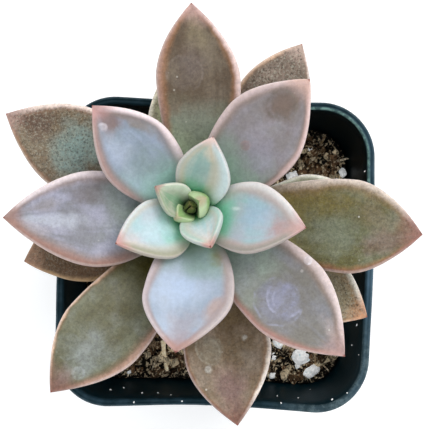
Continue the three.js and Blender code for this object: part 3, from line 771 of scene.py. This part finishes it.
def bowed(p):  # moves a point of the pot or its soil with the bow of the thin walls
    u, v = p.x / wallHalf(p.z), p.y / wallHalf(p.z)
    rise = (p.z / pot["height"]) ** 2
    right, far, left, near = pot["bow"]
    acrossX, acrossY = (math.cos(math.pi / 2 * max(-1, min(1, t))) ** 2 for t in (v, u))
    p.x += (right if u > 0 else -left) * u * u * acrossX * rise
    p.y += (far if v > 0 else -near) * v * v * acrossY * rise
    return p


def squareRing(half, corner, z):  # a square with round corners, with points along its sides as well
    steps, inner = pot["cornerSteps"], half - corner
    arcs = []
    for side, (cx, cy) in enumerate(((inner, inner), (-inner, inner), (-inner, -inner), (inner, -inner))):
        angles = [math.radians(90 * (side + i / steps)) for i in range(steps + 1)]
        arcs.append([Vector((cx + corner * math.cos(a), cy + corner * math.sin(a), z)) for a in angles])
    points = []
    for arc, following in zip(arcs, arcs[1:] + arcs[:1]):
        between = [arc[-1].lerp(following[0], i / pot["sideSteps"]) for i in range(1, pot["sideSteps"])]
        points += arc + between
    return points


def makePotSkin():
    material, shader, place = newMaterial("mouldedBlackPlastic", 0.5, 0.07)
    tones = {name: srgb(*pot[name]) for name in ("black", "litWallTeal", "scuffAndSheen", "rim", "paleSlate", "shine")}
    x, y, height = split(place)
    lip, inside = surfaceValue(material, "lip"), surfaceValue(material, "inside")
    worn = ease(grain(place, 260.0, 5.0, 0.65, 3.0), 0.42, 0.72)
    colour = blendColour(worn * 0.03, tones["black"], tones["scuffAndSheen"])
    # painted light: a teal sheen on the inner wall, strongest on the near wall that faces the lamps, faint
    # elsewhere
    colour = blendColour(inside * ease(y, -30 * mm, 8 * mm, 0.85, 0.1), colour, tones["litWallTeal"])
    farCorner = ease(x + y, 36 * mm, 46 * mm)
    nearCorner = ease(x - y, 40 * mm, 54 * mm)
    # painted highlight: the rim's right side is lighter slate blue where the lamps catch it, less at the
    # far corner and towards the inner edge
    eastSheen = ease(x, 24 * mm, 31 * mm, 0.0, 0.8) * ease(y, -22 * mm, 4 * mm, 0.25, 1.0)
    eastSheen = eastSheen * (farCorner * -0.75 + 1.0) * ease(lip, 0.6, 0.85, 1.0, 0.35)
    # from here worn holds both the real scuffs and the painted highlight of the right side
    worn = calc("ADD", worn * 0.25, eastSheen, clamp=True)
    rimTone = blendColour(worn, tones["rim"], tones["scuffAndSheen"])
    ragged = ease(grain(place, 640.0, 5.0, 0.7, 8.0), 0.42, 0.62, 0.25, 1.0)
    # painted highlight: a thin pale line along the rim's outer edge; the near corner is lighter slate grey,
    # ragged
    outerLine = ease(lip, 0.12, 0.34, 0.4, 0.0) * ragged
    # painted highlight: a thin shine along the rim's inner edge at the far corner
    innerLine = ease(lip, 0.5, 0.8) * ease(lip, 0.9, 1.0, 1.0, 0.0) * farCorner * ragged
    paleSlate = calc("MAXIMUM", outerLine, nearCorner * ragged * 0.8)
    rimTone = blendColour(paleSlate, rimTone, tones["paleSlate"])
    rimTone = blendColour(innerLine, rimTone, tones["shine"])
    onRim = ease(height, 55.2 * mm, 55.75 * mm)
    plug(shader.inputs["Base Color"], blendColour(onRim, colour, rimTone))
    plug(shader.inputs["Roughness"], ease(worn, 0.0, 1.0, 0.42, 0.65))
    relief = grain(place, 1600.0, 3.0, 0.6, 1.0) * 0.5 + grain(place, 90.0, 3.0, 0.5, 2.0)
    addBump(shader, relief, 0.2 * mm, 0.4)
    return material


def addCutter(place, turn, radius, depth, sides):
    bpy.ops.mesh.primitive_cylinder_add(vertices=sides, radius=radius * mm, depth=depth * mm)
    cutter = bpy.context.object
    cutter.location = Vector(place) * mm
    cutter.rotation_euler = turn
    return cutter


def cutHoles(cup):  # four drain holes in the floor and a slot in each corner of the foot
    foot = wallHalf(0) - wallCorner(0) * (1 - math.sqrt(0.5))
    slotHeight = pot["floor"] + pot["slotLift"] + pot["slotRadius"]
    offset = pot["drainOffset"]
    cutters = []
    for sx, sy in ((1, 1), (-1, 1), (-1, -1), (1, -1)):
        turn = (math.pi / 2, 0, math.atan2(sy, sx) + math.pi / 2)
        cutters.append(addCutter((sx * offset, sy * offset, 0), (0, 0, 0), pot["drainRadius"], 8, 48))
        cutters.append(addCutter((sx * foot, sy * foot, slotHeight), turn, pot["slotRadius"], 9, 40))
    for cutter in cutters:
        cut = cup.modifiers.new("hole", "BOOLEAN")
        cut.operation = "DIFFERENCE"
        cut.solver = "EXACT"
        cut.object = cutter
    mesh = bpy.data.meshes.new_from_object(cup.evaluated_get(bpy.context.evaluated_depsgraph_get()))
    cup.modifiers.clear()
    cup.data = mesh
    for cutter in cutters:
        bpy.data.objects.remove(cutter)


def makePot():
    height, rimHalf, rimCorner = pot["height"], pot["rimHalf"], pot["rimCorner"]
    under = height - pot["rimHeight"]
    rimRows = [(rimHalf - inset, rimCorner - inset, height - down) for inset, down in rimSteps]
    outside = [  # half width, corner radius and height of each row of the skin, up from the underside
        wallRow(0, 0.9), wallRow(0, 0.3, 0.25), wallRow(0.8), wallRow(1.6), wallRow(14), wallRow(28),
        wallRow(42), (wallHalf(under - 0.3), wallCorner(under), under - 0.3),
        (wallHalf(under) + 0.1, wallCorner(under), under), (rimHalf - 0.35, rimCorner, under + 0.1),
        (rimHalf - 0.05, rimCorner, under + 0.35), (rimHalf, rimCorner, under + 0.8),
        (rimHalf, rimCorner, height - 0.5), *rimRows[:-1],
    ]
    inside = [  # and down to the floor
        rimRows[-1], wallRow(under, 0.8, 1.4), wallRow(under, 1.0), wallRow(40, 1.0), wallRow(20, 1.0),
        wallRow(2.2, 1.0), wallRow(1.4, 1.6),
    ]
    profile = outside + inside
    rings = []
    for half, corner, z in profile:
        ring = []
        waver = pot["wobble"] * (z / height) ** 3
        for p in map(bowed, squareRing(half, corner, z)):
            shift = [waver * noise.noise(Vector((p.x * 0.09, p.y * 0.09, layer))) for layer in (2.3, 7.6)]
            ring.append(Vector((p.x + shift[0], p.y + shift[1], p.z)) * mm)
        rings.append(ring)
    material = makePotSkin()
    cup = pieceFromRings("pot_shell", rings, material)
    count, last = len(rings[0]), len(profile) - 1
    rows = [min(i // count, last) for i in range(len(cup.data.vertices))]
    lipWidth = rimSteps[-1][0]  # the lip runs from 0 at the rim's outer edge to 1 at its inner edge
    storeValues(cup, "lip", [min(1.0, (rimHalf - profile[row][0]) / lipWidth) for row in rows])
    storeValues(cup, "inside", [float(row >= len(outside)) for row in rows])
    cutHoles(cup)
    cup.data.materials.clear()
    cup.data.materials.append(material)
    cup.data.set_sharp_from_angle(angle=math.radians(50))
    finishPiece(cup, ["pot"])


wallDust = [  # white crumbs of perlite on the wall: place and height, size
    (-14.1, -28.9, 51.7, 0.42), (-10.8, -28.8, 51.9, 0.45), (-8.1, -28.9, 53.8, 0.34),
    (-20.7, -28.8, 48.7, 0.62), (20.9, -28.0, 43.3, 0.42), (18.0, -29.0, 51.1, 0.40),
    (22.2, -29.0, 50.0, 0.42), (13.7, -28.8, 50.8, 0.34), (-18.1, -28.4, 47.0, 0.40),
    (29.6, -13.6, 51.7, 0.45), (30.0, -19.5, 54.0, 0.34), (29.7, -8.5, 51.5, 0.3),
    (30.0, 17.9, 54.6, 0.42), (29.0, -18.0, 48.4, 0.36), (-15.5, -30.4, 55.9, 0.4),
    (-5.8, -29.9, 55.9, 0.4), (14.3, -29.6, 55.9, 0.36), (24.6, -28.6, 55.9, 0.4),
    (27.6, -27.2, 55.9, 0.34),
]


def makeWallDust(material):
    shape = bmesh.new()
    for i, (x, y, z, size) in enumerate(wallDust):
        radius = perlite["dustRadius"] * size
        crumb = bmesh.ops.create_icosphere(shape, subdivisions=2, radius=radius)["verts"]
        spin = Matrix.Rotation(1.9 * i, 3, "Z")
        for vertex in crumb:
            lumpy = 1 + 0.5 * noise.noise(vertex.co * 5 + Vector((i, 0, 0)))
            p = spin @ (vertex.co * Vector(perlite["dustShape"])) * lumpy
            vertex.co = (p + Vector((x, y, z + 0.1))) * mm
    finishPiece(pieceFrom("perlite_dust", shape, material, smooth=False))


makePot()
print("pot made")


# the soil: a crumbly root ball under bark chips, coir, straw and perlite

soil = {
    "level": 40.0, "mound": 1.6, "moundSpread": 13, "ripple": 0.6, "gap": 0.3, "around": 168, "rings": 60,
    "heapAt": (27, 19), "heapHeight": 2.6, "heapSpread": 6,
    "flanks": (12, 26, 36, 38.6),  # heights of the rings up its side
    "lumps": 0.55, "sunk": 0.65,  # how rough its top is, and how deep it lies under the crumbs
    "crumbsAbove": 38.2, "bareEdge": 1.6, "bareStem": 5.4,  # crumbs keep clear of the wall and the stem
    "dark": (12, 8, 5), "brown": (138, 106, 76), "tan": (246, 226, 190),
    "coir": ((110, 86, 58), (206, 178, 136), (255, 242, 214)),
}

perlite = {
    "pitShade": (196, 216, 220), "white": (255, 255, 255), "stain": (196, 176, 146),
    "glow": (0.94, 0.98, 1.0, 1),
    "sunk": 0.22, "flatness": 0.7, "lumps": (0.34, 0.09),  # shares of a grain's size
    "dustShape": (1.25, 0.8, 0.7), "dustRadius": 0.4,
}

crumbKinds = 5  # shapes that the scattered crumbs take
crumbs = {  # number to a square metre, smallest and largest size in mm, squash, tilt, lift, seed
    "bark": (1.1e6, 0.8, 3.0, (1.0, 0.5, 0.36), 1.2, 0.28, 21),
    "chips": (1.3e6, 0.4, 1.3, (1.0, 0.5, 0.42), 1.2, 0.32, 27),
    "coir": (0.65e6, 1.0, 3.0, (1.0, 0.13, 0.11), 0.6, 0.16, 33),
    "perlite": (0.030e6, 0.6, 1.9, (1.0, 0.85, 0.75), 1.5, 0.30, 45),
}


def soilHeight(x, y):
    away = math.hypot(x - plant["foot"][0], y - plant["foot"][1]) / soil["moundSpread"]
    ripple = math.sin(0.42 * x + 1.1) * math.cos(0.37 * y - 0.6) + 0.6 * math.sin(0.9 * x - 0.7 * y)
    heap = math.hypot(x - soil["heapAt"][0], y - soil["heapAt"][1]) / soil["heapSpread"]
    heap = soil["heapHeight"] * math.exp(-heap ** 2)
    return soil["level"] + soil["mound"] * (math.exp(-away ** 2) - 0.5) + soil["ripple"] * ripple + heap


def soilReach(z, angle):  # how far the soil reaches inside the wall, a square with round corners
    inset = pot["wall"] + soil["gap"]
    half, corner = wallHalf(z) - inset, wallCorner(z) - inset
    c, d = abs(math.cos(angle)), abs(math.sin(angle))
    side = half / max(c, d)
    inner = half - corner
    if side * min(c, d) <= inner:
        return side
    along = inner * (c + d)
    return along + math.sqrt(along ** 2 - 2 * inner ** 2 + corner ** 2)


def makeSoilSkin(name, low, high, light, share):
    material, shader, place = newMaterial(name, 0.9, 0.2)
    low, high, light = srgb(*low), srgb(*high), srgb(*light)
    tone = surfaceValue(material, "tone")
    mixed = grain(place, 700.0, 4.0, 0.65, 1.0) * 0.5 + tone * 0.75
    colour = blendColour(ease(mixed, 0.25, 0.8), low, high)
    colour = blendColour(ease(tone, share, share + 0.08), colour, light)
    strands = grain(vectorCalc("MULTIPLY", place, (1.0, 0.25, 1.0)), 2600.0, 3.0, 0.6, 3.0)
    # dark strands: fibre grain, and painted shade in the small gaps between fibres
    colour = blendColour(ease(strands, 0.42, 0.62, 0.0, 0.85), colour, low)
    # painted highlight: pale flecks of the light tone on the crumbs' edges
    edgeHighlight = ease(grain(place, 1500.0, 3.0, 0.6, 9.0), 0.54, 0.64, 0.0, 0.85)
    plug(shader.inputs["Base Color"], blendColour(edgeHighlight, colour, light))
    addBump(shader, strands, 0.2 * mm, 0.7)
    return material


def soilRing(share, level, height):  # one ring of the root ball, at a share of its reach
    points = []
    for i in range(soil["around"]):
        angle = 2 * math.pi * i / soil["around"]
        reach = share * soilReach(level, angle)
        x, y = reach * math.cos(angle), reach * math.sin(angle)
        points.append(bowed(Vector((x, y, height(x, y)))) * mm)
    return points


def crumblyHeight(x, y):
    lumps = noise.noise(Vector((x * 0.55, y * 0.55, 1.0)))
    lumps += 0.6 * noise.noise(Vector((x * 1.5, y * 1.5, 4.0)))
    return soilHeight(x, y) + soil["lumps"] * lumps - soil["sunk"]


def makeSoilBall(material):
    rings = [soilRing(1.0, pot["floor"] + 0.3, lambda x, y: pot["floor"] + 0.05)]
    for level in soil["flanks"]:
        rings.append(soilRing(1.0, level, lambda x, y: level))
    for r in range(soil["rings"]):
        rings.append(soilRing(0.995 - 0.985 * r / (soil["rings"] - 1), soil["level"], crumblyHeight))
    ball = pieceFromRings("soil_ball", rings, material)
    cover = []
    foot = Vector(plant["foot"][:2])
    for vertex in ball.data.vertices:
        x, y, z = (c / mm for c in vertex.co)
        edge = soilReach(soil["level"], math.atan2(y, x)) - soil["bareEdge"]
        clear = math.hypot(x, y) < edge and (Vector((x, y)) - foot).length > soil["bareStem"]
        cover.append(float(clear and z > soil["crumbsAbove"]))
    storeValues(ball, "cover", cover)
    return ball


def chance(tree, kind, low, high, seed):  # a random value for each crumb, the same at every run
    at = ("FLOAT_VECTOR", "FLOAT", "INT").index(kind)
    skipped = [None] * 2 * at  # the limits of the other kinds of value
    return addNode(tree, "FunctionNodeRandomValue", *skipped, low, high, settings={"data_type": kind},
                   result=at, Seed=seed)


def addCrumbKinds(tree, squash):  # lumpy cubes, each bent its own way
    kinds = tree.nodes.new("GeometryNodeGeometryToInstance")
    for k in range(crumbKinds):
        cube = addNode(tree, "GeometryNodeMeshCube", (1.0, 1.0, 1.0), 3, 3, 3)
        where = addNode(tree, "GeometryNodeInputPosition")
        bent = addNode(tree, "ShaderNodeTexNoise", settings={"noise_dimensions": "4D"}, result="Color",
                       Vector=where, W=7.7 * k, Scale=1.1, Detail=1.0)
        shift = scaled(vectorCalc("SUBTRACT", bent, (0.5, 0.5, 0.5)), 1.1)
        skipped = [None] * 3
        rounder = addNode(tree, "ShaderNodeMix", 0.3, *skipped, where, vectorCalc("NORMALIZE", where),
                          settings={"data_type": "VECTOR"}, result=1)
        lump = addNode(tree, "GeometryNodeSetPosition", Geometry=cube, Position=rounder, Offset=shift)
        plug(kinds.inputs[0], addNode(tree, "GeometryNodeTransform", Geometry=lump, Scale=squash))
    return Field(kinds.outputs[0])


def makeChipTree():
    sizes = {
        "Density": 0.4e6, "Smallest": 0.6 * mm, "Largest": 3 * mm, "Squash": (1.0, 0.55, 0.4), "Tilt": 0.5,
        "Depth": 0.0, "Seed": 1, "Material": None,
    }
    tree, given, result = newShapeTree("scatteredCrumbs", sizes)
    cover = addNode(tree, "GeometryNodeInputNamedAttribute", "cover", settings={"data_type": "FLOAT"})
    points = addNode(tree, "GeometryNodeDistributePointsOnFaces", settings={"distribute_method": "RANDOM"},
                     Mesh=given["Geometry"], Density=cover * given["Density"], Seed=given["Seed"])
    kinds = addCrumbKinds(tree, given["Squash"])
    which = chance(tree, "INT", 0, crumbKinds - 1, 3)
    tilt = given["Tilt"]
    low = addNode(tree, "ShaderNodeCombineXYZ", tilt * -1.0, tilt * -1.0, -3.14)
    high = addNode(tree, "ShaderNodeCombineXYZ", tilt, tilt, 3.14)
    turn = chance(tree, "FLOAT_VECTOR", low, high, 5)
    spread = chance(tree, "FLOAT", 0.0, 1.0, 7) ** 2.2  # more small crumbs than large ones
    scale = spread * (given["Largest"] - given["Smallest"]) + given["Smallest"]
    placed = addNode(tree, "GeometryNodeInstanceOnPoints", Points=points, Instance=kinds,
                     Pick_Instance=True, Instance_Index=which, Rotation=turn, Scale=scale)
    raised = addNode(tree, "ShaderNodeCombineXYZ", Z=scale * given["Depth"])
    moved = addNode(tree, "GeometryNodeTranslateInstances", Instances=placed, Translation=raised,
                    Local_Space=False)
    kind = {"data_type": "FLOAT", "domain": "INSTANCE"}
    toned = addNode(tree, "GeometryNodeStoreNamedAttribute", settings=kind, Geometry=moved, Name="tone",
                    Value=chance(tree, "FLOAT", 0.0, 1.0, 11))
    endTree(result, toned, given["Material"], False)
    return tree


def makePerliteSkin():
    material, shader, place = newMaterial("perliteWhite", 0.85, 0.3)
    pits = cells(place, 1100.0)
    # painted shade: a bluish tone in the grain's pits
    colour = blendColour(ease(pits, 0.05, 0.4), srgb(*perlite["pitShade"]), srgb(*perlite["white"]))
    stain = ease(grain(place, 500.0, 3.0, 0.6, 2.0), 0.55, 0.8, 0.0, 0.4)
    plug(shader.inputs["Base Color"], blendColour(stain, colour, srgb(*perlite["stain"])))
    addGlow(shader, perlite["glow"], 0.2)  # a painted glow: emission that keeps the grains bright where the leaves shade them
    addBump(shader, pits, 0.4 * mm, 0.9)
    return material


def makeSoil(perliteSkin):
    barkSkin = makeSoilSkin("barkChips", soil["dark"], soil["brown"], soil["tan"], 0.70)
    skins = {"coir": makeSoilSkin("coirBits", *soil["coir"], 0.5), "perlite": perliteSkin}
    ball = makeSoilBall(barkSkin)
    tree = makeChipTree()
    for kind, (density, small, large, squash, tilt, depth, seed) in crumbs.items():
        piece = growMesh("soil_" + kind, tree, {
            "Density": density, "Smallest": small * mm, "Largest": large * mm, "Squash": squash,
            "Tilt": tilt, "Depth": depth, "Seed": seed, "Material": skins.get(kind, barkSkin),
        }, base=ball.data.copy())
        finishPiece(piece)
    finishPiece(ball, ["soil"])


perliteSkin = makePerliteSkin()
makeSoil(perliteSkin)
print("soil made")

perliteGrains = [  # place on the soil, size in mm, turn in degrees, width to length
    ((19.2, -21.1), 4.2, 20, 0.82), ((21.4, -24.3), 3.8, 36, 0.6), ((14, -18.6), 2.3, 140, 0.82),
    ((13.1, -25.6), 1.6, 10, 0.82), ((15.9, 17.1), 2.6, 35, 0.82), ((26.6, 18.1), 1.9, 100, 0.82),
    ((-17.4, -25.6), 1.2, 30, 0.7), ((-21.2, 20.5), 2.6, 80, 0.82), ((13.2, -21.4), 1.7, 70, 0.82),
]


def makePerlite():
    for i, ((x, y), size, turn, slim) in enumerate(perliteGrains):
        shape = bmesh.new()
        bmesh.ops.create_icosphere(shape, subdivisions=4, radius=0.5)
        spin = Matrix.Rotation(math.radians(turn), 3, "Z")
        centre = Vector((x, y, soilHeight(x, y) + perlite["sunk"] * size))
        for vertex in shape.verts:
            p = vertex.co.copy()
            broad = perlite["lumps"][0] * noise.noise(p * 2.6 + Vector((i * 3.1, 0, 0)))
            fine = perlite["lumps"][1] * noise.noise(p * 9 + Vector((0, i * 2.3, 0)))
            p *= 0.97 + broad + fine
            p = spin @ Vector((p.x, p.y * slim, p.z * perlite["flatness"]))
            vertex.co = (p * size + centre) * mm
        grainName = f"perlite_{i + 1}"
        finishPiece(pieceFrom(grainName + "_grain", shape, perliteSkin), [grainName])


makePerlite()
makeWallDust(perliteSkin)
print("perlite made")

straw = {
    "from": (-10.3, -18.6), "to": (-9.3, -25.2), "lift": 1.1, "bend": 0.25, "wave": 0.1, "radius": 0.5,
    "taper": 0.7, "sides": 20, "rings": 24,
    "tone": (255, 246, 218), "shade": (220, 196, 150), "glow": (1.0, 0.86, 0.62, 1),
}


def makeStrawSkin():
    material, shader, place = newMaterial("dryStraw", 0.7, 0.3)
    strands = grain(place, 1800.0, 4.0, 0.6, 2.0)
    colour = blendColour(ease(strands, 0.3, 0.7), srgb(*straw["tone"]), srgb(*straw["shade"]))
    plug(shader.inputs["Base Color"], colour)
    addGlow(shader, straw["glow"], 0.12)  # a painted glow: emission that brightens the straw where it lies in shade
    addBump(shader, strands, 0.1 * mm, 0.6)
    return material


def makeStraw():
    start, end = (Vector((x, y, soilHeight(x, y) + straw["lift"])) for x, y in (straw["from"], straw["to"]))
    line = (end - start).normalized()
    side = line.cross(Vector((0, 0, 1))).normalized()
    over = side.cross(line)
    rings = []
    for r in range(straw["rings"] + 1):
        t = r / straw["rings"]
        middle = start.lerp(end, t) + side * straw["bend"] * math.sin(math.pi * t)
        middle += over * straw["wave"] * math.sin(5 * t)
        uneven = 1 + 0.15 * noise.noise(Vector((t * 6, 0, 0)))
        radius = straw["radius"] * lerp(1.0, straw["taper"], t) * uneven
        if r in (0, straw["rings"]):
            radius *= 0.6
        ring = []
        for i in range(straw["sides"]):
            angle = 2 * math.pi * i / straw["sides"]
            wide = radius * (1 + 0.12 * math.cos(3 * angle))
            ring.append((middle + side * wide * math.cos(angle) + over * 0.8 * wide * math.sin(angle)) * mm)
        rings.append(ring)
    finishPiece(pieceFromRings("straw_stick", rings, makeStrawSkin()), ["straw"])


makeStraw()
print("straw made")


# the photograph's side of things: floor, light and camera

view = {
    "distance": 320.0,  # from the rim of the pot to the camera, mm
    "tilt": 1.0,  # degrees off plumb, from the near side
    "roll": 1.75,
    "pixelSize": 63.5 / 313,  # mm to a pixel in the plane of the rim
    "centre": (215.0, 254.5),  # where the middle of the rim falls in the picture
    "picture": (425, 429),
    "sensor": 36,
}
lamps = {  # place, size, power and tint
    "windowLight": ((0.45, 0.55, 0.65), 0.6, 3.6, (1.0, 0.99, 0.97)),
    "fillLight": ((-0.7, -0.5, 0.8), 0.9, 1.0, (0.95, 0.98, 1.0)),
}
sky = {"Color": (0.96, 0.98, 1.0, 1), "Strength": 1.1}
ground = {"size": 6, "tone": (0.99, 0.99, 0.99, 1), "glow": 0.16}


def makeCamera():
    tilt, roll = math.radians(view["tilt"]), math.radians(view["roll"])
    look = Vector((0, math.sin(tilt), -math.cos(tilt)))
    right, up = Vector((1, 0, 0)), Vector((0, math.cos(tilt), math.sin(tilt)))
    right, up = math.cos(roll) * right + math.sin(roll) * up, math.cos(roll) * up - math.sin(roll) * right
    dx = (view["centre"][0] - view["picture"][0] / 2) * view["pixelSize"]
    dy = -(view["centre"][1] - view["picture"][1] / 2) * view["pixelSize"]
    place = Vector((0, 0, pot["height"])) - right * dx - up * dy - look * view["distance"]
    data = bpy.data.cameras.new("photoCamera")
    data.sensor_width = view["sensor"]
    data.lens = view["sensor"] * view["distance"] / (max(view["picture"]) * view["pixelSize"])
    data.clip_start, data.clip_end = 0.01, 10
    camera = bpy.data.objects.new("photoCamera", data)
    camera.matrix_world = Matrix((
        (right.x, up.x, -look.x, place.x * mm), (right.y, up.y, -look.y, place.y * mm),
        (right.z, up.z, -look.z, place.z * mm), (0, 0, 0, 1),
    ))
    scene.collection.objects.link(camera)
    scene.camera = camera


def makeFloor():
    material, shader = newMaterial("paleFloor", 0.8, 0.2)[:2]
    shader.inputs["Base Color"].default_value = ground["tone"]
    addGlow(shader, (1, 1, 1, 1), ground["glow"])  # a table lit a little from below
    bpy.ops.mesh.primitive_plane_add(size=ground["size"])
    floor = bpy.context.object
    floor.name = "floor"
    floor.data.materials.append(material)


def addLamp(name, place, size, power, tint):
    data = bpy.data.lights.new(name, "AREA")
    data.shape = "DISK"
    data.size = size
    data.energy = power
    data.color = tint
    lamp = bpy.data.objects.new(name, data)
    lamp.location = place
    lamp.rotation_euler = Vector(place).to_track_quat("Z", "Y").to_euler()
    scene.collection.objects.link(lamp)


makeFloor()
makeCamera()
for name, values in lamps.items():
    addLamp(name, *values)
world = bpy.data.worlds.new("studio")
scene.world = world
world.use_nodes = True
for title, value in sky.items():
    world.node_tree.nodes["Background"].inputs[title].default_value = value
scene.view_settings.view_transform = "Standard"
print("studio made")
